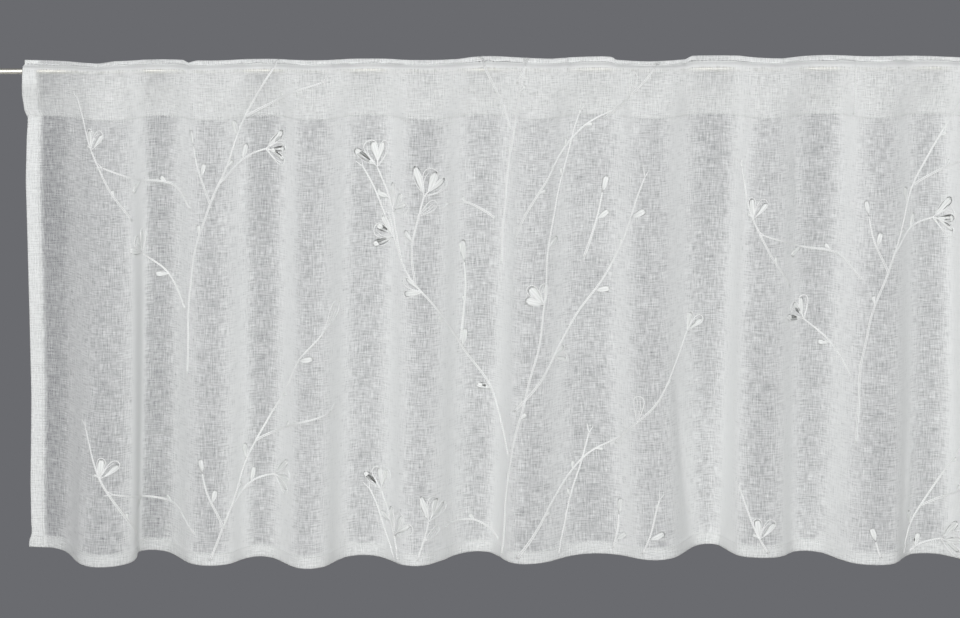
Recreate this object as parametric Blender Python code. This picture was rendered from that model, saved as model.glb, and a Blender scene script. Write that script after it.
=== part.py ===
"""Cafe curtain: one piece of sheer cloth with turned hems and a rod pocket, gathered on a slim rod.

The frame is in metres with +Z up. X runs along the rod, from the middle of the curtain towards its right
end as seen from the front, the front looks along -Y, and the origin lies on the rod's axis.
The dimensions below are real sizes in millimetres.
"""

import math

import bmesh
import bpy
from mathutils import Matrix
from mathutils import Vector

METRES_PER_MM = 0.001

# Rod
ROD_DIAMETER = 5.0
ROD_LENGTH = 1166.0
ROD_RIM_BEVEL = 0.4
ROD_SIDES = 24

# Cloth, with heights measured from the rod's axis
SHEET_THICKNESS = 1.0
TURNED_THICKNESS = 2.0
TOP_EDGE = 9.2
POCKET_SEAM = -42.0
SEAM_SWING = 1.0
SEAM_ALLOWANCE = 1.4
HEM_EDGE = -441.0
HEM_TURN = 12.0
SIDE_TURN = 11.5
STITCH_ROW = 0.8
POCKET_APEX = 0.9
CORNER_EAR = 5.0
CORNER_EAR_SPREAD = 16.0
STEPS_ALONG_STRETCH = 2
STEPS_ROUND_TURN = 3

# Heights of the cloth's rows between the pocket's seam and the hem, as shares of the way down
BODY_SHARES = (0.14, 0.32, 0.52, 0.72, 0.88)

# The rod pocket's rear layer, from the top stitch line down to the seam: its height, and where it lies
# behind the rod's axis where the cloth stands forward and where it stands back. The front layer mirrors it.
POCKET_COLUMNS = ("height", "forward", "back")
POCKET_ROWS = (
    (5.0, -9.0, 9.0),
    (4.1, 1.4, 13.5),
    (0.0, 4.0, 17.5),
    (-10.0, 4.2, 18.5),
    (-26.0, -5.5, 17.5),
    (-42.0, -14.0, 14.0),
)

# The folds from left to right: each row is one stretch of cloth, and stretches stand back and forward by
# turns, beginning and ending with one that stands back. "hem" and "head" are where the stretch begins and
# ends along the rod's direction at the hem and at the pocket's seam. "reach" is how far in front of the
# rod's axis it hangs at the hem, "lift" how much higher its hem lies, and "bow" how far to the right it
# swings half way down.
STRETCH_COLUMNS = ("hem_from", "hem_to", "reach_from", "reach_to", "lift", "head_from", "head_to", "bow")
STRETCHES = (
    (-553, -518, -36, -29, 3, -542, -508, 2),
    (-504, -447, 38, 10, -1, -484, -451, 4),
    (-466, -425, -33, -31, 1, -439, -410, 0),
    (-408, -370, 24, 25, 0, -397, -367, 1),
    (-359, -330, -16, -15, -1, -350, -318, 1),
    (-315, -284, 31, 27, -2, -306, -274, 0),
    (-270, -234, -19, -19, -1, -260, -221, 0),
    (-218, -191, 26, 30, 0, -213, -175, 2),
    (-165, -131, -26, -28, 0, -161, -126, -1),
    (-124, -87, 22, 22, 0, -107, -82, -1),
    (-61, -16, -15, -11, 1, -62, -25, -5),
    (-5, 31, 20, 22, 3, -9, 23, -6),
    (48, 74, -32, -31, 5, 37, 81, -1),
    (83, 128, 15, 15, 3, 91, 123, -2),
    (135, 166, -21, -19, 1, 137, 176, -1),
    (183, 229, 24, 30, -1, 185, 219, 3),
    (238, 278, -20, -16, -1, 234, 268, 3),
    (287, 324, 22, 24, 1, 276, 309, 1),
    (344, 379, -22, -21, 1, 326, 363, -2),
    (386, 420, 26, 23, 0, 372, 403, 0),
    (440, 474, -26, -24, 0, 423, 457, 2),
    (484, 514, 24, 22, -1, 463, 494, 1),
    (526, 553, -24, -28, 2, 513, 540, -2),
)


def clear_scene():
    for thing in list(bpy.data.objects):
        bpy.data.objects.remove(thing, do_unlink=True)


def between(low, high, share):
    return low + (high - low) * share


def eased(share):
    share = min(max(share, 0.0), 1.0)
    return share * share * (3.0 - 2.0 * share)


def fold_controls():
    """The corners of the folded section: where each stretch begins and ends, with all that belongs there."""
    controls = []
    for index, values in enumerate(STRETCHES):
        row = dict(zip(STRETCH_COLUMNS, values))
        stands_forward = float(index % 2)
        for end in ("from", "to"):
            controls.append({
                "head": row["head_" + end],
                "forward": stands_forward,
                "hem": row["hem_" + end],
                "reach": row["reach_" + end],
                "lift": row["lift"],
                "bow": row["bow"],
            })
    return controls


def spline_weights(share):
    """Weights of the four corners round one span of a smooth cubic curve."""
    rest = 1.0 - share
    return (
        rest ** 3 / 6.0,
        (3.0 * share ** 3 - 6.0 * share ** 2 + 4.0) / 6.0,
        (3.0 * rest ** 3 - 6.0 * rest ** 2 + 4.0) / 6.0,
        share ** 3 / 6.0,
    )


def fold_stations():
    """Places along the cloth from its left edge to its right edge, on a curve that rounds the corners."""
    controls = fold_controls()
    padded = [controls[0]] * 2 + controls + [controls[-1]] * 2
    stations = []
    for span in range(len(padded) - 3):
        steps = STEPS_ALONG_STRETCH if span % 2 else STEPS_ROUND_TURN
        last_span = span == len(padded) - 4
        for step in range(steps + last_span):
            weights = spline_weights(step / steps)
            corners = padded[span:span + 4]
            stations.append({
                key: sum(weight * corner[key] for weight, corner in zip(weights, corners))
                for key in controls[0]
            })
    return stations


def seam_height(station):
    return POCKET_SEAM + SEAM_SWING * (1.0 - 2.0 * station["forward"])


def seam_depth(station):
    row = dict(zip(POCKET_COLUMNS, POCKET_ROWS[-1]))
    return between(row["back"], row["forward"], station["forward"])


def body_point(station, height):
    """A point in the middle of the cloth below the pocket, for a height along the straight drop."""
    share = (POCKET_SEAM - height) / (POCKET_SEAM - HEM_EDGE)
    from_left = station["hem"] - STRETCHES[0][0]
    from_right = STRETCHES[-1][1] - station["hem"]
    low_in_hem = eased((HEM_EDGE + HEM_TURN + CORNER_EAR - height) / (HEM_TURN + CORNER_EAR))
    ear = CORNER_EAR * low_in_hem
    left_ear = ear * eased(1.0 - from_left / CORNER_EAR_SPREAD)
    right_ear = ear * eased(1.0 - from_right / CORNER_EAR_SPREAD)
    # The bow is a parabola over the drop, and the folds open out slowly below the seam.
    x = between(station["head"], station["hem"], share) + 4.0 * station["bow"] * share * (1.0 - share)
    opening = between(share, eased(share), 0.5)
    y = between(seam_depth(station), -station["reach"], opening)
    seam_rise = (seam_height(station) - POCKET_SEAM) * (1.0 - share)
    return Vector((x - left_ear + right_ear, y, height + seam_rise + station["lift"] * share))


def pocket_point(station, row, is_rear):
    """A point in the middle of one layer of the pocket."""
    forward = station["forward"]
    share = row["height"] / POCKET_SEAM if row["height"] < 0 else 0.0
    height = row["height"] + (seam_height(station) - POCKET_SEAM) * share
    if is_rear:
        depth = between(row["back"], row["forward"], forward)
    else:
        depth = -between(row["forward"], row["back"], forward)
    return Vector((station["head"], depth, height))


def row_normals(rows):
    """For a grid of points given as rows from the hem up, the direction that points to the rear."""
    normals = []
    for level, row in enumerate(rows):
        below = rows[max(level - 1, 0)]
        above = rows[min(level + 1, len(rows) - 1)]
        level_normals = []
        for place in range(len(row)):
            along = row[min(place + 1, len(row) - 1)] - row[max(place - 1, 0)]
            upward = above[place] - below[place]
            level_normals.append(upward.cross(along).normalized())
        normals.append(level_normals)
    return normals


def shifted(row, normals, distances):
    return [point + normal * distance for point, normal, distance in zip(row, normals, distances)]


def half_thicknesses(stations, thickness):
    """Half the cloth's thickness at each station, with the turned side hems thicker."""
    halves = []
    for station in stations:
        from_side = min(station["hem"] - STRETCHES[0][0], STRETCHES[-1][1] - station["hem"])
        halves.append(0.5 * max(thickness, TURNED_THICKNESS if from_side < SIDE_TURN else 0.0))
    return halves


def cloth_rings(stations):
    """The closed outline of the cloth and of the pocket's inside, as rows of points along the curtain."""
    hem_line = HEM_EDGE + HEM_TURN
    below_seam = POCKET_SEAM - SEAM_ALLOWANCE
    heights = [HEM_EDGE, hem_line, hem_line + STITCH_ROW]
    heights += [between(below_seam, hem_line, share) for share in reversed(BODY_SHARES)]
    heights += [below_seam]
    sheet = half_thicknesses(stations, SHEET_THICKNESS)
    turned = half_thicknesses(stations, TURNED_THICKNESS)
    layer = [SHEET_THICKNESS * 0.5] * len(stations)
    body = [[body_point(station, height) for station in stations] for height in heights]

    pocket_rows = [dict(zip(POCKET_COLUMNS, values)) for values in reversed(POCKET_ROWS)]
    front = [[pocket_point(station, row, False) for station in stations] for row in pocket_rows]
    rear = [[pocket_point(station, row, True) for station in stations] for row in pocket_rows]
    header_rise = Vector((0.0, 0.0, TOP_EDGE - POCKET_ROWS[0][0]))
    top_edge = [point + header_rise for point in front[-1]]

    front_normals = row_normals(body + front + [top_edge])
    rear_normals = row_normals(body + rear + [top_edge])
    count = len(body)
    front_face = []
    rear_face = []
    for level, row in enumerate(body):
        halves = turned if level < 2 else sheet
        front_face.append(shifted(row, front_normals[level], [-half for half in halves]))
        rear_face.append(shifted(row, rear_normals[level], halves))
    inner_front = []
    inner_rear = []
    for level in range(len(pocket_rows)):
        joined = level in (0, len(pocket_rows) - 1)
        outward = turned if joined else layer
        front_face.append(shifted(front[level], front_normals[count + level], [-half for half in outward]))
        rear_face.append(shifted(rear[level], rear_normals[count + level], outward))
        if not joined:
            inner_front.append(shifted(front[level], front_normals[count + level], layer))
            inner_rear.append(shifted(rear[level], rear_normals[count + level], [-half for half in layer]))
    front_face.append(shifted(top_edge, front_normals[-1], [-half for half in turned]))
    rear_face.append(shifted(top_edge, rear_normals[-1], turned))
    low_apex = [point + Vector((0.0, 0.0, POCKET_APEX)) for point in front[0]]
    high_apex = [point - Vector((0.0, 0.0, POCKET_APEX)) for point in front[-1]]
    return {
        "outer": front_face + rear_face[::-1],
        "inner": [low_apex] + inner_rear + [high_apex] + inner_front[::-1],
        "body_levels": count,
    }


def add_rings(mesh, rows):
    """A tube of quads: the rows run along the curtain, and the last one joins the first."""
    made = [[mesh.verts.new(point * METRES_PER_MM) for point in row] for row in rows]
    for first, second in zip(made, made[1:] + made[:1]):
        for place in range(len(first) - 1):
            mesh.faces.new((first[place], first[place + 1], second[place + 1], second[place]))
    return made


def close_end(mesh, outer, inner, body_levels, place):
    """Covers one cut end of the cloth, leaving the pocket open for the rod."""
    last = len(outer) - 1
    walls = (len(inner) - 2) // 2
    seam = body_levels
    stitch = seam + walls + 1
    for level in list(range(seam)) + [stitch]:
        mesh.faces.new([outer[n][place] for n in (level, level + 1, last - level - 1, last - level)])
    mesh.faces.new((outer[seam][place], inner[0][place], outer[last - seam][place]))
    mesh.faces.new((outer[stitch][place], inner[walls + 1][place], outer[last - stitch][place]))
    for wall in range(walls + 1):
        rear = (last - seam - wall, last - seam - wall - 1)
        mesh.faces.new((outer[rear[0]][place], outer[rear[1]][place],
                        inner[wall + 1][place], inner[wall][place]))
        front = (seam + wall, seam + wall + 1)
        opposite = len(inner) - wall
        mesh.faces.new((outer[front[0]][place], outer[front[1]][place],
                        inner[opposite - 1][place], inner[opposite % len(inner)][place]))


def make_material(name, color, roughness, metallic):
    material = bpy.data.materials.new(name)
    material.use_nodes = True
    shader = material.node_tree.nodes["Principled BSDF"]
    shader.inputs["Base Color"].default_value = (*color, 1.0)
    shader.inputs["Roughness"].default_value = roughness
    shader.inputs["Metallic"].default_value = metallic
    return material


def voile_material():
    return make_material("white_voile", (0.78, 0.78, 0.78), 0.9, 0.0)


def steel_material():
    return make_material("polished_steel", (0.72, 0.7, 0.66), 0.18, 1.0)


def add_object(name, mesh, material, shade_angle):
    data = bpy.data.meshes.new(name)
    bmesh.ops.recalc_face_normals(mesh, faces=mesh.faces)
    mesh.to_mesh(data)
    mesh.free()
    data.materials.append(material)
    data.shade_smooth()
    data.set_sharp_from_angle(angle=math.radians(shade_angle))
    thing = bpy.data.objects.new(name, data)
    bpy.context.collection.objects.link(thing)
    return thing


def build_curtain():
    """The cloth: body, turned side hems and hem, and the pocket turned over to the rear, all in one."""
    stations = fold_stations()
    rings = cloth_rings(stations)
    mesh = bmesh.new()
    outer = add_rings(mesh, rings["outer"])
    inner = add_rings(mesh, rings["inner"])
    for place in (0, len(stations) - 1):
        close_end(mesh, outer, inner, rings["body_levels"], place)
    bmesh.ops.triangulate(mesh, faces=mesh.faces)
    return add_object("curtain", mesh, voile_material(), 50.0)


def build_rod():
    """A plain round bar with slightly broken rims and flat ends."""
    mesh = bmesh.new()
    radius = ROD_DIAMETER * 0.5 * METRES_PER_MM
    length = ROD_LENGTH * METRES_PER_MM
    along_x = Matrix.Rotation(math.radians(90.0), 4, "Y")
    bmesh.ops.create_cone(mesh, cap_ends=True, segments=ROD_SIDES, radius1=radius, radius2=radius,
                          depth=length, matrix=along_x)
    rims = [edge for edge in mesh.edges if abs(edge.verts[0].co.x - edge.verts[1].co.x) < radius]
    bmesh.ops.bevel(mesh, geom=rims, offset=ROD_RIM_BEVEL * METRES_PER_MM, segments=1, affect="EDGES")
    return add_object("rod", mesh, steel_material(), 30.0)


def main():
    clear_scene()
    build_curtain()
    build_rod()


main()
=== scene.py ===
import math
import random

import bpy
import numpy as np
from mathutils import Matrix, Vector


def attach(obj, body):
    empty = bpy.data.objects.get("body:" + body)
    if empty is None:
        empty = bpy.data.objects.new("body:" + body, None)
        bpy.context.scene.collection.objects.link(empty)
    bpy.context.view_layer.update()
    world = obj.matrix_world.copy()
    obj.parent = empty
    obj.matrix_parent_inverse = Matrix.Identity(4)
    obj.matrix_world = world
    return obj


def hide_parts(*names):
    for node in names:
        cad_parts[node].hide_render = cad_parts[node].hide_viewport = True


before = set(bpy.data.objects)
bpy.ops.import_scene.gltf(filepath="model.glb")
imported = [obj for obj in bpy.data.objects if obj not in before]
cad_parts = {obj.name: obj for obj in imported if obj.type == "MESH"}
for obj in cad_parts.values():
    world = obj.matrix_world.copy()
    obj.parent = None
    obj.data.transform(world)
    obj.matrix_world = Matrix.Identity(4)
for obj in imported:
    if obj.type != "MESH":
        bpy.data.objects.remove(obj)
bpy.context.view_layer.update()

# A voile cafe curtain gathered on a slim rod. Sizes are in millimetres unless a name says otherwise:
# x runs along the rod, y to the rear, z up, all from the middle of the rod's axis.
mm = 0.001


def linearColour(hexCode):
    parts = [int(hexCode[i:i + 2], 16) / 255 for i in (1, 3, 5)]
    return [p / 12.92 if p <= 0.04045 else ((p + 0.055) / 1.055) ** 2.4 for p in parts] + [1.0]


def addNode(tree, kind, settings=None, **inputs):
    # settings are the node's own fields, inputs its sockets: a value, or a link from (node, output)
    node = tree.nodes.new(kind)
    for field, value in (settings or {}).items():
        setattr(node, field, value)
    for key, value in inputs.items():
        key = int(key[1:]) if key[0] == "_" else key.replace("_", " ")
        socket = node.inputs[key]
        if isinstance(value, tuple) and isinstance(value[0], bpy.types.Node):
            tree.links.new(value[0].outputs[value[1]], socket)
        else:
            socket.default_value = value
    return node


def newMaterial(name):
    material = bpy.data.materials.new(name)
    material.use_nodes = True
    material.node_tree.nodes.clear()
    return material, material.node_tree


def deselectAll():
    for thing in bpy.context.selected_objects:
        thing.select_set(False)


# camera and light
shot = {
    "distance": 2.5,              # metres from the lens to the aim
    "aim": (-0.145, 0.0, -0.2127),
    "pitchDown": 9.9,             # degrees
    "roll": -0.2,
    "lens": 105.56,               # on a sensor 36 mm wide
}


def setCamera():
    deselectAll()
    bpy.ops.object.camera_add()
    camera = bpy.context.object
    pitch = math.radians(shot["pitchDown"])
    back = Vector((0, -math.cos(pitch), math.sin(pitch))) * shot["distance"]
    camera.matrix_world = (Matrix.Translation(Vector(shot["aim"]) + back)
                           @ Matrix.Rotation(math.pi / 2 - pitch, 4, "X")
                           @ Matrix.Rotation(math.radians(shot["roll"]), 4, "Z"))
    camera.data.sensor_width = 36
    camera.data.lens = shot["lens"]
    camera.data.clip_start = 0.05
    bpy.context.scene.camera = camera


studio = {
    "backdrop": "#6a6b6f",
    "lamps": (
        # name, place, aimed at, width, height, watts
        ("keyLamp", (-0.3, -3.1, 0.5), (-0.1, 0, -0.22), 2.8, 1.6, 96),
        ("leftLamp", (-2.2, -2.0, 0.4), (-0.2, 0, -0.25), 1.2, 1.6, 5),
        ("rightLamp", (2.0, -2.0, 0.4), (0.0, 0, -0.25), 1.2, 1.6, 5),
    ),
    "floorHeight": -0.95,
    "floorSize": (3.2, 2.2),
    "floorColour": "#d9d8d4",
}


def setStudio():
    world = bpy.data.worlds.new("studioGrey")
    world.use_nodes = True
    world.node_tree.nodes["Background"].inputs["Color"].default_value = linearColour(studio["backdrop"])
    bpy.context.scene.world = world
    bpy.context.scene.view_settings.view_transform = "Standard"    # whites stay as bright as they are lit
    for name, place, target, width, height, watts in studio["lamps"]:
        deselectAll()
        bpy.ops.object.light_add(type="AREA", location=place)
        lamp = bpy.context.object
        lamp.name = name
        lamp.data.shape = "RECTANGLE"
        lamp.data.size = width
        lamp.data.size_y = height
        lamp.data.energy = watts
        lamp.rotation_euler = (Vector(target) - Vector(place)).to_track_quat("-Z", "Y").to_euler()
        lamp.visible_camera = False
    deselectAll()
    bpy.ops.mesh.primitive_plane_add(size=1, location=(0, 0.1, studio["floorHeight"]))
    floor = bpy.context.object
    floor.name = "studioFloor"
    floor.scale = (*studio["floorSize"], 1)
    bpy.ops.object.transform_apply(location=True, rotation=True, scale=True)
    material, tree = newMaterial("matte_floor_paint")    # matte rolled paint: a faint uneven roller grain
    place = addNode(tree, "ShaderNodeTexCoord")
    grain = addNode(tree, "ShaderNodeTexNoise", Vector=(place, "Object"), Scale=220.0, Detail=3.0)
    bump = addNode(tree, "ShaderNodeBump", Height=(grain, "Fac"), Strength=0.05, Distance=0.002)
    shader = addNode(tree, "ShaderNodeBsdfPrincipled", Roughness=0.85, Normal=(bump, "Normal"))
    shader.inputs["Base Color"].default_value = linearColour(studio["floorColour"])
    addNode(tree, "ShaderNodeOutputMaterial", Surface=(shader, "BSDF"))
    floor.data.materials.append(material)


# the cloth's folds, worked out as the solid under it is
cloth = {
    "width": 1400.0,         # finished, laid flat
    "topEdge": 9.2,
    "headStitch": 5.0,
    "pocketSeam": -42.0,
    "seamSwing": 1.0,
    "hemEdge": -441.0,
    "hemTurn": 12.0,
    "sideTurn": 11.5,
    "turnedIn": 20.0,        # allowance inside the pocket
    "layerGap": 0.35,        # from one turned layer to the next
    "cornerEar": 5.0,
    "earSpread": 16.0,
    "columnStep": 2.5,
    "rowStep": 4.6,
    "headRowStep": 2.6,
}

# rear layer of the pocket: height, where it lies when the cloth stands forward, and when it stands back
pocketRows = (
    (5.0, -9.0, 9.0),
    (4.1, 1.4, 13.5),
    (0.0, 4.0, 17.5),
    (-10.0, 4.2, 18.5),
    (-26.0, -5.5, 17.5),
    (-42.0, -14.0, 14.0),
)

# hem from, hem to, reach from, reach to, lift, head from, head to, bow: back and forward by turns
stretches = (
    (-553, -518, -36, -29, 3, -542, -508, 2),
    (-504, -447, 38, 10, -1, -484, -451, 4),
    (-466, -425, -33, -31, 1, -439, -410, 0),
    (-408, -370, 24, 25, 0, -397, -367, 1),
    (-359, -330, -16, -15, -1, -350, -318, 1),
    (-315, -284, 31, 27, -2, -306, -274, 0),
    (-270, -234, -19, -19, -1, -260, -221, 0),
    (-218, -191, 26, 30, 0, -213, -175, 2),
    (-165, -131, -26, -28, 0, -161, -126, -1),
    (-124, -87, 22, 22, 0, -107, -82, -1),
    (-61, -16, -15, -11, 1, -62, -25, -5),
    (-5, 31, 20, 22, 3, -9, 23, -6),
    (48, 74, -32, -31, 5, 37, 81, -1),
    (83, 128, 15, 15, 3, 91, 123, -2),
    (135, 166, -21, -19, 1, 137, 176, -1),
    (183, 229, 24, 30, -1, 185, 219, 3),
    (238, 278, -20, -16, -1, 234, 268, 3),
    (287, 324, 22, 24, 1, 276, 309, 1),
    (344, 379, -22, -21, 1, 326, 363, -2),
    (386, 420, 26, 23, 0, 372, 403, 0),
    (440, 474, -26, -24, 0, 423, 457, 2),
    (484, 514, 24, 22, -1, 463, 494, 1),
    (526, 553, -24, -28, 2, 513, 540, -2),
)

# the top edge: place along the flat cloth, and how far it rises there
topEdgeRows = (
    (0, 0.0), (58, -1.6), (82, -2.2), (100, 0.0), (182, 0.2), (192, -2.0), (204, 0.3), (500, 0.0),
    (525, 2.0), (575, 1.6), (600, 0.6), (655, 1.4), (664, 1.0), (668, -1.4), (700, -1.8), (752, -1.0),
    (760, 1.8), (800, 2.0), (850, 0.2), (895, 1.8), (985, 2.0), (1040, 0.2), (1160, 1.2), (1250, -0.6),
    (1330, 1.0), (1400, 0.0),
)

# the left side edge: height, and how far it stands out to the left
sideEdgeRows = ((-441, 0.0), (-420, 3.5), (-380, 4.5), (-300, 3.5), (-200, 4.5), (-100, 5.0), (-60, 3.0),
                (-44, 1.5), (-36, 4.0), (-22, 4.2), (-8, 2.6), (9, 2.0))

# how closely the yarns lie along the flat cloth, against the middle of the panel: lower in the stretches towards both
# sides, where more of the grey behind shows through
coverRows = (
    (0, 1.9), (11, 1.7), (13, 0.6), (15, 0.52), (62, 0.5), (74, 0.72), (90, 0.85), (126, 0.85), (142, 0.68), (182, 0.66),
    (200, 0.94), (242, 0.94), (262, 0.78), (292, 0.78), (312, 0.98), (345, 1.02), (375, 0.96), (410, 0.96),
    (440, 1.02), (520, 1.0), (540, 0.88), (562, 0.88), (580, 1.04), (640, 1.0), (670, 0.95), (700, 0.98),
    (720, 1.04), (760, 1.0), (800, 0.94), (850, 1.0), (884, 1.0), (905, 0.88), (925, 0.9), (950, 1.0),
    (1020, 0.95), (1060, 1.0), (1200, 0.96), (1300, 0.82), (1330, 0.7), (1384, 0.55), (1390, 0.9), (1400, 1.0),
)


def eased(share):
    share = np.clip(share, 0.0, 1.0)
    return share * share * (3.0 - 2.0 * share)


def between(low, high, share):
    return low + (high - low) * share


def splineWeights(share):
    rest = 1.0 - share
    return (rest ** 3 / 6, (3 * share ** 3 - 6 * share ** 2 + 4) / 6,
            (3 * rest ** 3 - 6 * rest ** 2 + 4) / 6, share ** 3 / 6)


def foldStations(stepsASpan=24):
    # the folded section as a smooth curve round the stretches' corners, with all that belongs to each place
    corners = []
    for number, (hemFrom, hemTo, reachFrom, reachTo, lift, headFrom, headTo, bow) in enumerate(stretches):
        forward = float(number % 2)
        corners.append((headFrom, forward, hemFrom, reachFrom, lift, bow))
        corners.append((headTo, forward, hemTo, reachTo, lift, bow))
    padded = np.array([corners[0]] * 2 + corners + [corners[-1]] * 2)
    found = []
    for span in range(len(padded) - 3):
        last = span == len(padded) - 4
        for step in range(stepsASpan + last):
            found.append(np.array(splineWeights(step / stepsASpan)) @ padded[span:span + 4])
    return np.array(found)


stations = foldStations()


def smoothRows(rows, steps=8):
    # a soft curve through a table's rows, so that the pocket has no corners
    rows = np.array(rows, float)
    padded = np.vstack((2 * rows[0] - rows[1], rows, 2 * rows[-1] - rows[-2]))
    found = []
    for k in range(1, len(padded) - 2):
        a, b, c, d = padded[k - 1:k + 3]
        for step in range(steps):
            t = step / steps
            found.append(0.5 * (2 * b + (c - a) * t + (2 * a - 5 * b + 4 * c - d) * t ** 2
                                + (3 * b - a - 3 * c + d) * t ** 3))
    return np.array(found + [padded[-2]])[::-1]


pocketCurve = smoothRows(pocketRows)


def bodyPlace(head, forward, hem, reach, lift, bow, height):
    share = (cloth["pocketSeam"] - height) / (cloth["pocketSeam"] - cloth["hemEdge"])
    x = between(head, hem, share) + 4 * bow * share * (1 - share)
    opening = 0.5 * (share + eased(share))
    seamDepth = between(14.0, -14.0, forward)
    y = between(seamDepth, -reach, opening)
    low = eased((cloth["hemEdge"] + cloth["hemTurn"] + cloth["cornerEar"] - height)
                / (cloth["hemTurn"] + cloth["cornerEar"]))
    x = x - cloth["cornerEar"] * low * eased(1 - (hem - stretches[0][0]) / cloth["earSpread"])
    x = x + cloth["cornerEar"] * low * eased(1 - (stretches[-1][1] - hem) / cloth["earSpread"])
    z = height + cloth["seamSwing"] * (1 - 2 * forward) * (1 - share) + lift * share
    return x, y, z


def flatLengths():
    # how far along the flat cloth each station lies, from the section half way down
    columns = stations.T
    x, y, z = bodyPlace(*columns, -230.0)
    steps = np.hypot(np.diff(x), np.diff(y))
    lengths = np.concatenate(([0.0], np.cumsum(steps)))
    return lengths * cloth["width"] / lengths[-1]


stationPlaces = flatLengths()

random.seed(41)


def scattered(count, low, high, narrow, wide, weak, strong):
    # small gathers along the cloth: place, half width, depth
    return [(random.uniform(low, high), random.uniform(narrow, wide),
             random.uniform(weak, strong) * random.choice((-1, 1))) for _ in range(count)]


gathers = {
    "seam": scattered(120, 0, 1400, 2.5, 7.0, 0.15, 0.7),     # run down from the pocket's seam
    "head": scattered(110, 0, 1400, 2.5, 7.0, 0.2, 0.8),      # stand in the small edge above the rod
    "hem": scattered(90, 0, 1400, 4.0, 12.0, 0.15, 0.6),      # along the stitched hem
    "drop": scattered(60, 0, 1400, 6.0, 16.0, 0.2, 0.9),      # long soft ridges from top to hem
}
gatherPlaces = np.linspace(0, 1400, 1401)


def gatherCurve(name):
    found = np.zeros_like(gatherPlaces)
    for place, halfWidth, depth in gathers[name]:
        found += depth * np.exp(-((gatherPlaces - place) / halfWidth) ** 2)
    return found


gatherCurves = {name: gatherCurve(name) for name in gathers}

# creases pressed or pulled into the cloth: flat place and height of both ends, half width, depth
creases = (
    (95, -60, 108, -190, 5, 1.2),
    (262, -50, 250, -150, 6, -1.0),
    (470, -330, 455, -436, 6, 1.2),
    (600, -60, 585, -200, 5, -1.2),
    (735, -250, 752, -436, 7, 1.4),
    (870, -52, 880, -160, 5, 1.0),
    (1010, -300, 1000, -436, 6, -1.2),
    (1180, -60, 1165, -220, 6, 1.0),
    (1290, -260, 1300, -430, 6, -1.0),
)


def smallRelief(s, height):
    # how far the small gathers and creases push the cloth to the rear
    push = np.interp(s, gatherPlaces, gatherCurves["seam"]) * np.exp(-np.abs(height - cloth["pocketSeam"]) / 22)
    push += np.interp(s, gatherPlaces, gatherCurves["head"]) * np.exp(-np.abs(height - 7) / 9)
    push += np.interp(s, gatherPlaces, gatherCurves["hem"]) * np.exp(-np.abs(height - cloth["hemEdge"] - 10) / 14)
    drop = eased((cloth["pocketSeam"] - height) / 60)
    push += np.interp(s + 0.02 * height, gatherPlaces, gatherCurves["drop"]) * drop
    for sFrom, heightFrom, sTo, heightTo, halfWidth, depth in creases:
        share = np.clip((height - heightFrom) / (heightTo - heightFrom), -0.2, 1.2)
        across = (s - between(sFrom, sTo, share)) / halfWidth
        push += depth * np.exp(-across ** 2) * np.sin(np.pi * np.clip(share, 0, 1))
    return push


def foldPlace(s, height, rear):
    # the middle of the cloth where it hangs: s along the flat cloth from its left edge, rear for the turned-over top
    here = [np.interp(s, stationPlaces, stations[:, k]) for k in range(6)]
    head, forward = here[0], here[1]
    bx, by, bz = bodyPlace(*here, np.minimum(height, cloth["pocketSeam"]))
    rowHeight = np.clip(height, cloth["pocketSeam"], cloth["headStitch"])
    deep = np.interp(rowHeight, pocketCurve[:, 0], pocketCurve[:, 1])
    shallow = np.interp(rowHeight, pocketCurve[:, 0], pocketCurve[:, 2])
    py = np.where(rear, between(shallow, deep, forward), -between(deep, shallow, forward))
    swing = cloth["seamSwing"] * (1 - 2 * forward) * np.clip(height / cloth["pocketSeam"], 0, 1)
    inPocket = height > cloth["pocketSeam"]
    x = np.where(inPocket, head, bx)
    y = np.where(inPocket, py, by)
    z = np.where(inPocket, height + swing, bz)
    rise = np.interp(s, [r[0] for r in topEdgeRows], [r[1] for r in topEdgeRows])
    z = z + rise * eased((height + 2) / 11)
    out = np.interp(height, [r[0] for r in sideEdgeRows], [r[1] for r in sideEdgeRows])
    x = x - out * eased(1 - s / 34)
    return np.stack((x, y, z), -1)


def clothPlace(s, height, rear, offset):
    # a point of the cloth at an offset to the rear of its middle, and the unit normal that points to the rear
    step = 0.6
    sLow, sHigh = np.clip(s - step, 0, cloth["width"]), np.clip(s + step, 0, cloth["width"])
    top = cloth["topEdge"]
    low, high = height - step, np.minimum(height + step, top)
    along = foldPlace(sHigh, height, rear) - foldPlace(sLow, height, rear)
    upward = foldPlace(s, high, rear) - foldPlace(s, low, rear)
    normal = np.cross(upward, along)
    normal /= np.linalg.norm(normal, axis=-1, keepdims=True)
    push = smallRelief(s, height) + offset
    return foldPlace(s, height, rear) + normal * push[..., None], normal


def turnedSteps(turn, gap):
    # across a double turn, from the raw edge hidden inside to the fold at the finished edge: place, layer
    inside = [(share * turn, 0.0) for share in (0.06, 0.35, 0.65, 0.93)]
    fold = [(turn, 0.5 * gap)]
    behind = [(share * turn, gap) for share in (0.93, 0.65, 0.35, 0.06)]
    edge = [(-0.12, 0.0)]
    return inside + fold + behind + edge


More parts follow.
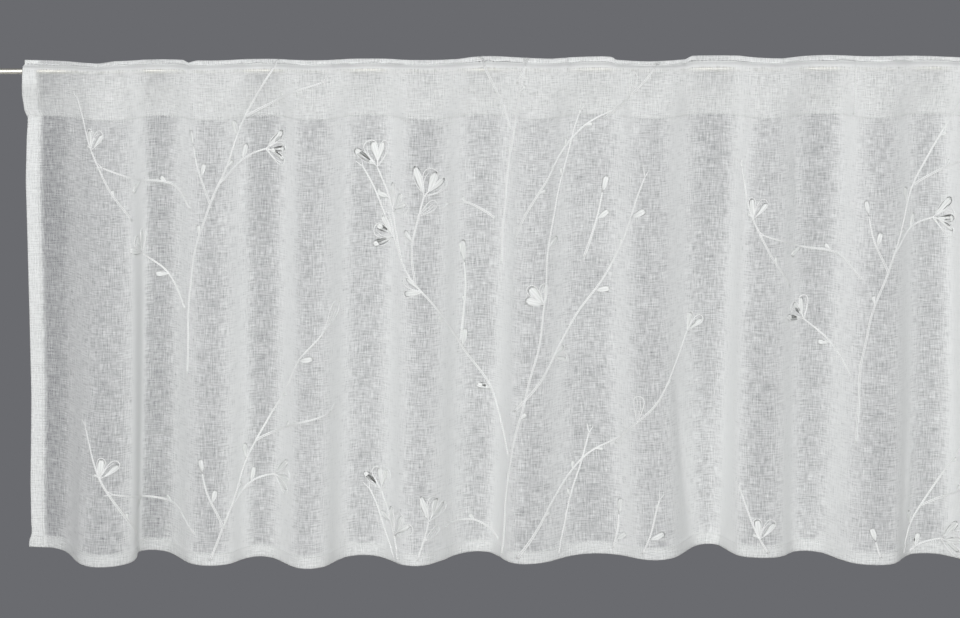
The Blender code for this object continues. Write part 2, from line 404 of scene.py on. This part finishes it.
def clothColumns():
    turn, gap, width = cloth["sideTurn"], cloth["layerGap"], cloth["width"]
    left = turnedSteps(turn, gap)
    count = int((width - 2 * turn) / cloth["columnStep"])
    edgeShares = (0.06, 0.25, 0.5, 0.75, 0.93)
    front = [(turn * share, -gap) for share in edgeShares]
    front += [(turn, -gap * 0.6)]
    front += [(turn + 0.8 + (width - 2 * turn - 1.6) * k / count, 0.0) for k in range(count + 1)]
    front += [(width - turn, -gap * 0.6)]
    front += [(width - turn * share, -gap) for share in reversed(edgeShares)]
    right = [(width - s, offset) for s, offset in reversed(left)]
    columns = left + front + right
    cut = [0.0]
    for (s, _), (t, _) in zip(columns, columns[1:]):
        cut.append(cut[-1] + abs(t - s))
    return columns, cut


def clothRows():
    # from the hem's raw edge, round the hem, up the front, over the top and down inside the pocket
    turn, gap = cloth["hemTurn"], cloth["layerGap"]
    hemEdge, seam, stitch, top = cloth["hemEdge"], cloth["pocketSeam"], cloth["headStitch"], cloth["topEdge"]
    rows = [(hemEdge + place, False, offset) for place, offset in turnedSteps(turn, gap)]
    for share in (0.05, 0.2, 0.4, 0.6, 0.8, 0.93):
        rows.append((hemEdge + turn * share, False, -gap - 0.35 * math.sin(math.pi * share)))
    rows.append((hemEdge + turn, False, -gap * 0.5))
    start, end = hemEdge + turn + 1.0, seam - 1.2
    count = round((end - start) / cloth["rowStep"])
    rows += [(start + (end - start) * k / count, False, 0.0) for k in range(count + 1)]
    rows += [(seam - 0.4, False, -0.1), (seam + 0.1, False, -gap * 0.5)]
    start, end = seam + 1.2, stitch - 1.0
    count = round((end - start) / cloth["headRowStep"])
    rows += [(start + (end - start) * k / count, False, -gap) for k in range(count + 1)]
    rows += [(stitch, False, -gap * 0.5), (stitch + 1.0, False, -gap), (between(stitch, top, 0.6), False, -gap),
             (top - 0.25, False, -gap * 0.8)]
    rows += [(top, False, 0.0)]
    rows += [(top - 0.25, True, gap * 0.8), (between(stitch, top, 0.6), True, gap), (stitch + 1.0, True, gap),
             (stitch, True, gap * 0.5)]
    rows += [(between(end, start, k / count), True, gap) for k in range(count + 1)]
    rows += [(seam + 0.1, True, gap * 0.6)]
    rows += [(seam + cloth["turnedIn"] * share, True, -0.1) for share in (0.03, 0.15, 0.3, 0.45, 0.6, 0.75, 0.9, 1.0)]
    cut = [0.0]
    for (h, _, _), (g, _, _) in zip(rows, rows[1:]):
        cut.append(cut[-1] + max(abs(g - h), 0.2))
    return rows, cut


def gridMesh(name, places, uvs, attributes):
    # a sheet from a grid of points, its UV map and its point attributes
    rowCount, columnCount = places.shape[:2]
    number = np.arange(rowCount * columnCount).reshape(rowCount, columnCount)
    faces = np.stack((number[:-1, :-1], number[:-1, 1:], number[1:, 1:], number[1:, :-1]), -1).reshape(-1, 4)
    data = bpy.data.meshes.new(name)
    data.from_pydata((places.reshape(-1, 3) * mm).tolist(), [], faces.tolist())
    layer = data.uv_layers.new(name="clothCut")
    flat = uvs.reshape(-1, 2)[faces.reshape(-1)]
    layer.uv.foreach_set("vector", flat.astype(np.float32).ravel())
    for key, values in attributes.items():
        attribute = data.attributes.new(key, "FLOAT", "POINT")
        attribute.data.foreach_set("value", values.astype(np.float32).ravel())
    data.shade_smooth()
    thing = bpy.data.objects.new(name, data)
    bpy.context.collection.objects.link(thing)
    return thing


def makeCloth(material):
    columns, columnCut = clothColumns()
    rows, rowCut = clothRows()
    s = np.array([c[0] for c in columns])[None, :]
    height = np.array([r[0] for r in rows])[:, None]
    rear = np.array([r[1] for r in rows])[:, None]
    offset = np.array([r[2] for r in rows])[:, None] + np.array([c[1] for c in columns])[None, :]
    s, height, rear = np.broadcast_arrays(s, height, rear)
    places, normals = clothPlace(np.clip(s, 0, cloth["width"]), height, rear, offset)
    uvs = np.stack(np.broadcast_arrays(np.array(columnCut)[None, :] * mm, np.array(rowCut)[:, None] * mm), -1)
    # closeness of the yarns: more where the folds narrow the cloth, and where it turns edge on to the front
    clipped = np.clip(s, 0, cloth["width"])
    sLow, sHigh = np.clip(clipped - 3, 0, cloth["width"]), np.clip(clipped + 3, 0, cloth["width"])
    stretch = np.linalg.norm(foldPlace(sHigh, height, rear) - foldPlace(sLow, height, rear), axis=-1) / (sHigh - sLow)
    cover = np.interp(clipped, [r[0] for r in coverRows], [r[1] for r in coverRows]) / np.clip(stretch, 0.75, 1.2)
    edgeOn = np.clip(np.abs(normals[..., 1]), 0.35, 1) ** -voile["edgePower"]
    curtain = gridMesh("curtain_cloth", places, uvs, {"cover": cover * edgeOn})
    curtain.data.materials.append(material)
    print("cloth", len(curtain.data.polygons) * 2, "triangles, cut",
          round(columnCut[-1]), "by", round(rowCut[-1]))
    return curtain


# thread: every stroke is laid out on the flat cloth, then carried onto the folds
class FlatWork:
    # gathers strokes in flat places (s along the cloth, t up from the hem, lift off the face)
    def __init__(self):
        self.points, self.faces, self.uvs = [], [], []

    def add(self, points, faces, uvs):
        first = len(self.points)
        self.points += points
        self.faces += [tuple(first + k for k in face) for face in faces]
        self.uvs += uvs

    def onCloth(self, name, material):
        flat = np.array(self.points)
        s, t, lift = flat[:, 0], flat[:, 1], flat[:, 2]
        height = cloth["hemEdge"] + t
        over = height > cloth["topEdge"]
        height = np.where(over, 2 * cloth["topEdge"] - height, height)
        s = np.clip(s, 0.5, cloth["width"] - 0.5)
        base = np.where(height > cloth["pocketSeam"], cloth["layerGap"], 0.0)
        base = np.where(height < cloth["hemEdge"] + cloth["hemTurn"], cloth["layerGap"] + 0.3, base)
        side = np.minimum(s, cloth["width"] - s) < cloth["sideTurn"]
        base = base + np.where(side, cloth["layerGap"], 0.0)
        outward = np.where(over, 1.0, -1.0)
        places, normals = clothPlace(s, height, over, outward * (base + lift))
        data = bpy.data.meshes.new(name)
        data.from_pydata((places * mm).tolist(), [], self.faces)
        layer = data.uv_layers.new(name="threadRun")
        corner = np.array([k for face in self.faces for k in face])
        layer.uv.foreach_set("vector", np.array(self.uvs)[corner].astype(np.float32).ravel())
        data.shade_smooth()
        data.materials.append(material)
        thing = bpy.data.objects.new(name, data)
        bpy.context.collection.objects.link(thing)
        print(name, sum(len(face) - 2 for face in self.faces), "triangles")
        return thing


def curvePoints(corners, spacing=3.0):
    # a smooth line through a few flat points, with even steps
    pts = np.array(corners, float)
    padded = np.vstack((2 * pts[0] - pts[1], pts, 2 * pts[-1] - pts[-2]))
    fine = []
    for k in range(1, len(padded) - 2):
        a, b, c, d = padded[k - 1:k + 3]
        for t in np.linspace(0, 1, 24, endpoint=False):
            fine.append(0.5 * (2 * b + (c - a) * t + (2 * a - 5 * b + 4 * c - d) * t ** 2
                               + (3 * b - a - 3 * c + d) * t ** 3))
    fine = np.array(fine + [padded[-2]])
    length = np.concatenate(([0.0], np.cumsum(np.hypot(*np.diff(fine, axis=0).T))))
    count = max(int(length[-1] / spacing), 4)
    at = np.linspace(0, length[-1], count + 1)
    return np.stack([np.interp(at, length, fine[:, k]) for k in (0, 1)], -1), at


def layThread(work, line, radii, lift, squash=0.7, shift=None):
    # a low round strand of five sides along a flat line, closed at both ends
    line = np.array(line, float)
    run = np.gradient(line, axis=0)
    run /= np.linalg.norm(run, axis=1, keepdims=True)
    side = np.stack((run[:, 1], -run[:, 0]), -1)
    radii = np.broadcast_to(np.array(radii, float), len(line))
    if shift is not None:
        line = line + side * np.array(shift)[:, None]
    along = np.concatenate(([0.0], np.cumsum(np.hypot(*np.diff(line, axis=0).T))))
    angles = [math.radians(a) for a in (90, 18, -54, -126, 162)]
    points, uvs, faces = [], [], []
    for k in range(len(line)):
        for n, angle in enumerate(angles):
            p = line[k] + side[k] * radii[k] * math.cos(angle)
            points.append((p[0], p[1], lift + radii[k] * squash * (0.6 + math.sin(angle))))
            uvs.append((along[k] * mm, n * 0.2 * radii[k] * 6 * mm))
    for k in range(len(line) - 1):
        for n in range(5):
            a, b = k * 5 + n, k * 5 + (n + 1) % 5
            faces.append((a, a + 5, b + 5, b))
    faces.append((0, 1, 2, 3, 4))
    last = (len(line) - 1) * 5
    faces.append((last + 4, last + 3, last + 2, last + 1, last))
    work.add(points, faces, uvs)


def petalOutline(length, width, count=24):
    # from the pointed base round the broad rounded tip and back, in its own flat frame with the tip at +v
    outline = []
    for k in range(count + 1):
        turn = math.pi * 2 * k / count
        v = 0.5 - 0.5 * math.cos(turn)
        half = 1.18 * v ** 0.85 * math.sqrt(max(1 - v ** 5, 0))
        outline.append((math.copysign(half, math.sin(turn)) * width * 0.5 if 0 < k < count else 0.0, v * length))
    return outline


def turnedTo(points, place, angle):
    # own frame to flat cloth: v points along the angle, measured from straight up towards +s
    c, n = math.cos(angle), math.sin(angle)
    return [(place[0] + u * c + v * n, place[1] - u * n + v * c) for u, v in points]


embroidery = {
    "strandRadius": 0.56,
    "strandSpacing": 0.68,
    "tipRadius": 0.46,
    "fillHeight": 0.55,
    "outlineRadius": 0.52,
    "veinRadius": 0.38,
    "repeatAcross": (754, -63),     # one repeat to the right lies a little lower
    "repeatUp": (-11, 292),
}


def sewFill(work, place, angle, length, width, shift=0.0):
    # satin stitches over a low padding: a domed petal, moved sideways in its own frame by the shift
    rings = 4
    outline = [(u + shift, v) for u, v in petalOutline(length, width, 18)[:-1]]
    centre = (shift, length * 0.58)
    points, uvs, faces = [], [], []
    height = embroidery["fillHeight"]
    for ring in range(rings):
        share = 1 - ring / rings
        local = [(centre[0] + (u - centre[0]) * share, centre[1] + (v - centre[1]) * share) for u, v in outline]
        for (u, v), (a, b) in zip(local, turnedTo(local, place, angle)):
            points.append((a, b, 0.05 + height * math.sqrt(max(1 - share ** 2, 0))))
            uvs.append((u * mm, v * mm))
    a, b = turnedTo([centre], place, angle)[0]
    points.append((a, b, 0.05 + height))
    uvs.append((centre[0] * mm, centre[1] * mm))
    count = len(outline)
    for ring in range(rings - 1):
        for k in range(count):
            n = (k + 1) % count
            faces.append((ring * count + k, (ring + 1) * count + k, (ring + 1) * count + n, ring * count + n))
    for k in range(count):
        faces.append(((rings - 1) * count + k, rings * count, (rings - 1) * count + (k + 1) % count))
    faces.append(tuple(range(count)))
    work.add(points, faces, uvs)


def sewOutline(work, place, angle, length, width):
    line = turnedTo(petalOutline(length, width), place, angle)
    layThread(work, line, embroidery["outlineRadius"], 0.1)


def sewVeins(work, place, angle, length, width, leans):
    # lines of running stitch inside a petal, each leaning to one side by a share of its width
    for lean in leans:
        inner = [(lean * width * math.sin(math.pi * v * 0.8), (0.1 + 0.74 * v) * length) for v in np.linspace(0, 1, 7)]
        layThread(work, turnedTo(inner, place, angle), embroidery["veinRadius"], 0.15)


def sewCup(works, place, angle, length, width, side):
    # half filled: the outline all round, the filling towards one side and an open slit on the other
    lines, fills = works
    sewOutline(lines, place, angle, length, width)
    sewFill(fills, turnedTo([(0, length * 0.04)], place, angle)[0], angle + side * 0.07, length * 0.9, width * 0.56,
            side * width * 0.12)
    sewVeins(lines, place, angle, length, width, (-side * 0.26,))


def sewFork(works, place, angle, length):
    for lean, share in ((-0.42, 1.0), (0.3, 0.75)):
        tip = [(math.sin(lean) * v * length * share, math.cos(lean) * v * length * share) for v in np.linspace(0, 1, 5)]
        layThread(works[0], turnedTo(tip, place, angle), np.linspace(0.7, 0.4, 5), 0.1)


def sewPart(works, kind, place, angle, size):
    lines, fills = works
    if kind == "bud":
        sewFill(fills, place, angle, size, size * 0.5)
        sewVeins(lines, place, angle, size, size * 0.5, (0.3,))
    elif kind == "loop":
        sewOutline(lines, place, angle, size, size * 0.52)
        sewVeins(lines, place, angle, size, size * 0.5, (-0.1, 0.16))
    elif kind == "thorn":
        sewFill(fills, place, angle, size * 0.7, size * 0.36)
        sewVeins(lines, place, angle, size * 0.7, size * 0.36, (0.1,))
    elif kind == "fork":
        sewFork(works, place, angle, size * 0.6)
    elif kind == "pair":
        sewFill(fills, place, angle - 0.36, size * 0.86, size * 0.36)
        sewOutline(lines, place, angle - 0.36, size * 0.9, size * 0.4)
        sewCup(works, place, angle + 0.36, size, size * 0.52, 1)
    elif kind == "blossom":
        sewFill(fills, place, angle - 0.5, size * 1.08, size * 0.34)
        sewVeins(lines, place, angle - 0.5, size * 1.1, size * 0.34, (-0.42, 0.36))
        sewCup(works, place, angle + 0.08, size * 0.98, size * 0.62, 1)
        sewCup(works, place, angle + 0.82, size, size * 0.5, -1)
    elif kind == "fan":
        sewFill(fills, place, angle - 0.62, size * 0.8, size * 0.42)
        sewVeins(lines, place, angle - 0.62, size * 0.84, size * 0.42, (-0.3, 0.3))
        sewFill(fills, place, angle - 0.05, size * 0.95, size * 0.46)
        sewOutline(lines, place, angle - 0.05, size, size * 0.5)
        sewCup(works, place, angle + 0.62, size * 0.84, size * 0.46, 1)


# One repeat of the twigs, drawn for this curtain. Each stem: its flat points (s along, t up from the hem) and
# what it carries: share of the way along, side (-1 left, 1 right, 0 at the tip), kind, size
stems = (
    (((202, -120), (205, -45), (222, 20), (262, 100), (312, 176), (344, 214)),
     ((0.34, -1, "thorn", 14), (0.52, 1, "thorn", 14), (0.6, -1, "bud", 15), (0.78, 1, "thorn", 13),
      (0.9, 1, "bud", 14), (1, 0, "loop", 30))),
    (((204, 28), (176, 46), (140, 52), (94, 66)),
     ((0.35, 1, "thorn", 12), (0.6, -1, "bud", 15), (1, 0, "fork", 12))),
    (((124, 18), (98, 52), (78, 92), (66, 126)),
     ((0.22, 1, "thorn", 12), (0.62, 1, "pair", 20), (0.6, -1, "thorn", 10), (1, 0, "fork", 13))),
    (((236, 52), (262, 70), (286, 78)),
     ((0.55, -1, "bud", 14), (1, 0, "blossom", 24))),
    (((228, 34), (216, 62), (210, 84)),
     ((0.5, 1, "bud", 13), (1, 0, "bud", 14))),
    (((268, 108), (306, 126), (352, 140)),
     ((0.4, -1, "thorn", 11), (1, 0, "fork", 13))),
    (((196, -62), (170, -34), (144, -14)),
     ((0.5, -1, "bud", 14), (1, 0, "blossom", 22))),
    (((556, -24), (562, 60), (578, 138), (594, 214), (602, 300), (634, 404)),
     ((0.22, -1, "thorn", 12), (0.36, 1, "thorn", 13), (0.6, -1, "fan", 22), (0.72, 1, "bud", 15),
      (0.86, -1, "thorn", 12), (1, 0, "fork", 14))),
    (((564, 96), (536, 152), (500, 200), (452, 252), (414, 306), (388, 354)),
     ((0.2, -1, "bud", 15), (0.36, 1, "bud", 16), (0.48, -1, "thorn", 12), (0.6, -1, "pair", 20),
      (0.78, -1, "blossom", 23), (0.9, 1, "thorn", 11), (1, 0, "fork", 14))),
    (((450, 254), (448, 292), (458, 332)),
     ((0.45, -1, "bud", 14), (0.75, 1, "loop", 20), (1, 0, "blossom", 24))),
    (((504, 196), (510, 236), (508, 268)),
     ((0.5, -1, "thorn", 10), (1, 0, "bud", 20))),
    (((572, 138), (616, 196), (662, 258), (688, 306), (702, 348)),
     ((0.25, 1, "pair", 18), (0.52, 1, "bud", 15), (0.72, -1, "thorn", 12), (0.84, 1, "bud", 15),
      (1, 0, "fork", 15))),
    (((576, 2), (606, 54), (642, 92), (676, 112)),
     ((0.3, 1, "thorn", 11), (0.62, -1, "thorn", 12), (0.8, 1, "thorn", 11), (1, 0, "fork", 14))),
    (((668, 104), (706, 136), (734, 172), (756, 204)),
     ((0.28, -1, "loop", 22), (0.6, 1, "thorn", 12), (1, 0, "pair", 20))),
    (((446, -16), (430, 26), (412, 62)),
     ((0.5, 1, "blossom", 24), (0.66, -1, "bud", 15), (1, 0, "blossom", 24))),
    (((548, 16), (520, 30), (494, 32)),
     ((0.5, 1, "thorn", 11), (1, 0, "fork", 12))),
    (((652, -20), (664, 14), (668, 38)),
     ((0.6, 1, "bud", 14), (1, 0, "bud", 17))),
)


def sewTwigs(works):
    across, up = embroidery["repeatAcross"], embroidery["repeatUp"]
    random.seed(7)
    drop = cloth["topEdge"] - cloth["hemEdge"]
    lowest, highest = 3.0, drop + 48
    for column in (-1, 0, 1, 2):
        for row in (-1, 0, 1, 2):
            shiftS = across[0] * column + up[0] * row
            shiftT = across[1] * column + up[1] * row
            for corners, parts in stems:
                moved = [(s + shiftS, t + shiftT) for s, t in corners]
                line, along = curvePoints(moved)
                wobble = random.uniform(0, 6)
                line[:, 0] += 0.5 * np.sin(along / 9 + wobble)
                inside = ((line[:, 0] > 14) & (line[:, 0] < cloth["width"] - 14)
                          & (line[:, 1] > lowest) & (line[:, 1] < highest))
                start = 0
                while start < len(line):
                    if not inside[start]:
                        start += 1
                        continue
                    end = start
                    while end + 1 < len(line) and inside[end + 1]:
                        end += 1
                    if end - start >= 3:
                        part = line[start:end + 1]
                        share = np.linspace(start, end, len(part)) / (len(line) - 1)
                        radii = between(embroidery["strandRadius"], embroidery["tipRadius"], share)
                        gap = embroidery["strandSpacing"] * between(1.0, 0.45, share)
                        layThread(works[0], part, radii, 0.05, shift=gap)
                        layThread(works[0], part, radii, 0.05, shift=-gap)
                    start = end + 1
                for share, side, kind, size in parts:
                    k = min(int(round(share * (len(line) - 1))), len(line) - 1)
                    place = line[k]
                    back = line[max(k - 2, 0)]
                    ahead = line[min(k + 1, len(line) - 1)]
                    angle = math.atan2(ahead[0] - back[0], ahead[1] - back[1])
                    lean = side * (0.75 if kind != "thorn" else 0.5) + random.uniform(-0.12, 0.12)
                    size = size * random.uniform(0.92, 1.08)
                    reach = size + 2
                    low, high = lowest + 2, highest - 2
                    if not (reach < place[0] < cloth["width"] - reach):
                        continue
                    tip = place[1] + math.cos(angle + lean) * size
                    if min(place[1], tip) < low or max(place[1], tip) > high:
                        continue
                    if min(place[1], tip) < drop + 4 and max(place[1], tip) > drop - 9:
                        continue    # nothing padded is folded over the top edge
                    sewPart(works, kind, place, angle + lean, size)


stitching = {
    "length": 2.4,
    "pitch": 3.1,
    "radius": 0.24,
}


def sewSeams(work):
    # lockstitch rows: the pocket's seam, the row under the top edge, the hem and the two sides
    drop = cloth["topEdge"] - cloth["hemEdge"]
    seam = cloth["pocketSeam"] - cloth["hemEdge"] + 0.9
    head = cloth["headStitch"] - cloth["hemEdge"]
    hem = cloth["hemTurn"] - 1.3
    side = cloth["sideTurn"] - 1.3
    for t, first, last in ((seam, 2, 1398), (head, 2, 1398), (hem, 2, 1398)):
        at = first
        while at + stitching["length"] < last:
            sewStitch(work, (at, t), (at + stitching["length"], t))
            at += stitching["pitch"]
    for s in (side, cloth["width"] - side):
        at = 3
        while at + stitching["length"] < drop - 52:
            sewStitch(work, (s, at), (s, at + stitching["length"]))
            at += stitching["pitch"]


def sewStitch(work, start, end):
    radius = stitching["radius"]
    points, uvs, faces = [], [], []
    for share, size in ((0.0, 0.35), (0.3, 1.0), (0.7, 1.0), (1.0, 0.35)):
        s, t = between(start[0], end[0], share), between(start[1], end[1], share)
        for us, ut, lift in ((0, 0, 1.0), (1, 0, -0.2), (-1, 0, -0.2)):
            if abs(end[0] - start[0]) > abs(end[1] - start[1]):
                us, ut = ut, -us
            points.append((s + us * radius * size, t + ut * radius * size, 0.04 + radius * size * (1 + lift)))
            uvs.append((share * stitching["length"] * mm, lift * mm))
    for k in range(3):
        for n in range(3):
            a, b = k * 3 + n, k * 3 + (n + 1) % 3
            faces.append((a, b, b + 3, a + 3))
    faces.append((0, 2, 1))
    faces.append((9, 10, 11))
    work.add(points, faces, uvs)


# the voile's looks
voile = {
    "white": "#f6f7f6",
    "slub": "#eceeed",
    "covered": 0.58,      # how much of a flat single layer the yarns cover
    "streakWidth": 0.95,  # real yarns are 0.45 mm apart: drawn coarser, so that the slubs show
    "streakLength": 11.0,
    "streakDepth": 0.8,
    "edgePower": 2.6,     # how fast the cover closes where the cloth turns edge on to the front
}


def voileMaterial():
    # plain-woven slub voile, bleached: matte, sheer, with uneven yarns both ways and tiny open squares
    material, tree = newMaterial("slub_voile")
    flat = addNode(tree, "ShaderNodeUVMap", {"uv_map": "clothCut"})
    across, along = 1 / (voile["streakWidth"] * mm), 1 / (voile["streakLength"] * mm)
    warpPlace = addNode(tree, "ShaderNodeMapping", Vector=(flat, "UV"), Scale=(across, along, 1))
    weftPlace = addNode(tree, "ShaderNodeMapping", Vector=(flat, "UV"), Scale=(along, across, 1),
                        Location=(31.7, 12.3, 0))
    warp = addNode(tree, "ShaderNodeTexNoise", {"noise_dimensions": "2D"}, Vector=(warpPlace, "Vector"),
                   Scale=1.0, Detail=3.0, Roughness=0.65)
    weft = addNode(tree, "ShaderNodeTexNoise", {"noise_dimensions": "2D"}, Vector=(weftPlace, "Vector"),
                   Scale=1.0, Detail=3.0, Roughness=0.65)
    both = addNode(tree, "ShaderNodeMath", {"operation": "ADD"}, _0=(warp, "Fac"), _1=(weft, "Fac"))
    centred = addNode(tree, "ShaderNodeMath", {"operation": "SUBTRACT"}, _0=(both, "Value"), _1=1.0)
    cloudPlace = addNode(tree, "ShaderNodeMapping", Vector=(flat, "UV"), Scale=(28, 20, 1))
    cloud = addNode(tree, "ShaderNodeTexNoise", {"noise_dimensions": "2D"}, Vector=(cloudPlace, "Vector"),
                    Scale=1.0, Detail=2.0)
    cover = addNode(tree, "ShaderNodeMath", {"operation": "MULTIPLY_ADD"}, _0=(centred, "Value"),
                    _1=voile["streakDepth"], _2=voile["covered"])
    cloudy = addNode(tree, "ShaderNodeMath", {"operation": "MULTIPLY_ADD"}, _0=(cloud, "Fac"), _1=0.12, _2=-0.06)
    covered = addNode(tree, "ShaderNodeMath", {"operation": "ADD", "use_clamp": True},
                      _0=(cover, "Value"), _1=(cloudy, "Value"))
    # where the yarns close up, what is left open is raised to a power
    openLeft = addNode(tree, "ShaderNodeMath", {"operation": "SUBTRACT", "use_clamp": True}, _0=1.0,
                       _1=(covered, "Value"))
    closeness = addNode(tree, "ShaderNodeAttribute", {"attribute_name": "cover"})
    openHere = addNode(tree, "ShaderNodeMath", {"operation": "POWER"}, _0=(openLeft, "Value"),
                       _1=(closeness, "Fac"))
    alpha = addNode(tree, "ShaderNodeMath", {"operation": "SUBTRACT", "use_clamp": True}, _0=1.0,
                    _1=(openHere, "Value"))
    colour = addNode(tree, "ShaderNodeMix", {"data_type": "RGBA"}, Factor=(warp, "Fac"))
    colour.inputs["A"].default_value = linearColour(voile["slub"])
    colour.inputs["B"].default_value = linearColour(voile["white"])
    bump = addNode(tree, "ShaderNodeBump", Height=(both, "Value"), Strength=0.25, Distance=0.0004)
    shader = addNode(tree, "ShaderNodeBsdfPrincipled", Base_Color=(colour, "Result"), Roughness=0.9,
                     Normal=(bump, "Normal"))
    shader.inputs["Specular IOR Level"].default_value = 0.2
    glow = addNode(tree, "ShaderNodeBsdfTranslucent", Color=(colour, "Result"), Normal=(bump, "Normal"))
    yarn = addNode(tree, "ShaderNodeMixShader", Fac=0.14, _1=(shader, "BSDF"), _2=(glow, "BSDF"))
    clear = addNode(tree, "ShaderNodeBsdfTransparent")
    sheer = addNode(tree, "ShaderNodeMixShader", Fac=(alpha, "Value"), _1=(clear, "BSDF"), _2=(yarn, "Shader"))
    addNode(tree, "ShaderNodeOutputMaterial", Surface=(sheer, "Shader"))
    return material


def threadMaterial(name, hexCode, pitch, roughness, sheen):
    # spun thread, laid in close parallel turns: a soft sheen, fine grooves across the run, and painted shade that
    # darkens the colour in the grooves
    material, tree = newMaterial(name)
    run = addNode(tree, "ShaderNodeUVMap", {"uv_map": "threadRun"})
    place = addNode(tree, "ShaderNodeMapping", Vector=(run, "UV"), Scale=(1 / (pitch * mm), 0.35 / (pitch * mm), 1))
    grooveReliefAndShade = addNode(tree, "ShaderNodeTexWave", {"bands_direction": "X"}, Vector=(place, "Vector"), Scale=0.16,
                      Distortion=1.2, Detail=1.0)
    # painted shade: the low parts of the grooves are drawn 14 % darker, on top of the bump
    tint = addNode(tree, "ShaderNodeMix", {"data_type": "RGBA"}, Factor=(grooveReliefAndShade, "Fac"))
    base = linearColour(hexCode)
    tint.inputs["A"].default_value = [c * 0.86 for c in base[:3]] + [1.0]
    tint.inputs["B"].default_value = base
    bump = addNode(tree, "ShaderNodeBump", Height=(grooveReliefAndShade, "Fac"), Strength=0.5, Distance=0.0003)
    shader = addNode(tree, "ShaderNodeBsdfPrincipled", Base_Color=(tint, "Result"), Roughness=roughness,
                     Normal=(bump, "Normal"))
    shader.inputs["Sheen Weight"].default_value = sheen
    shader.inputs["Specular IOR Level"].default_value = 0.35
    addNode(tree, "ShaderNodeOutputMaterial", Surface=(shader, "BSDF"))
    return material


def steelMaterial():
    # drawn steel with satin nickel plating: a broad soft highlight, with faint lengthwise drawing marks
    material, tree = newMaterial("nickel_plated_steel")
    place = addNode(tree, "ShaderNodeTexCoord")
    drawn = addNode(tree, "ShaderNodeMapping", Vector=(place, "Object"), Scale=(12, 900, 900))
    marks = addNode(tree, "ShaderNodeTexNoise", Vector=(drawn, "Vector"), Scale=1.0, Detail=3.0)
    rough = addNode(tree, "ShaderNodeMapRange", Value=(marks, "Fac"), To_Min=0.46, To_Max=0.58)
    tint = addNode(tree, "ShaderNodeMix", {"data_type": "RGBA"}, Factor=(marks, "Fac"))
    tint.inputs["A"].default_value = linearColour("#d8d6cc")
    tint.inputs["B"].default_value = linearColour("#efede4")
    bump = addNode(tree, "ShaderNodeBump", Height=(marks, "Fac"), Strength=0.06, Distance=0.0002)
    shader = addNode(tree, "ShaderNodeBsdfPrincipled", Base_Color=(tint, "Result"), Metallic=1.0,
                     Roughness=(rough, "Result"), Normal=(bump, "Normal"))
    addNode(tree, "ShaderNodeOutputMaterial", Surface=(shader, "BSDF"))
    return material


setCamera()
setStudio()

curtain = makeCloth(voileMaterial())

lineWork, fillWork, seamWork = FlatWork(), FlatWork(), FlatWork()
sewTwigs((lineWork, fillWork))
sewSeams(seamWork)
twigs = lineWork.onCloth("twig_lines", threadMaterial("viscose_outline_thread", "#f2f3f2", 0.9, 0.6, 0.1))
petals = fillWork.onCloth("petal_satin", threadMaterial("viscose_satin_thread", "#e8eae8", 1.1, 0.55, 0.1))
seams = seamWork.onCloth("seam_stitches", threadMaterial("polyester_sewing_thread", "#ecedec", 0.6, 0.6, 0.1))

steel = steelMaterial()
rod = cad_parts["rod"]
for rodSlot in rod.material_slots:
    rodSlot.material = steel

for piece in (curtain, twigs, petals, seams):
    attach(piece, "root")
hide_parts("curtain")
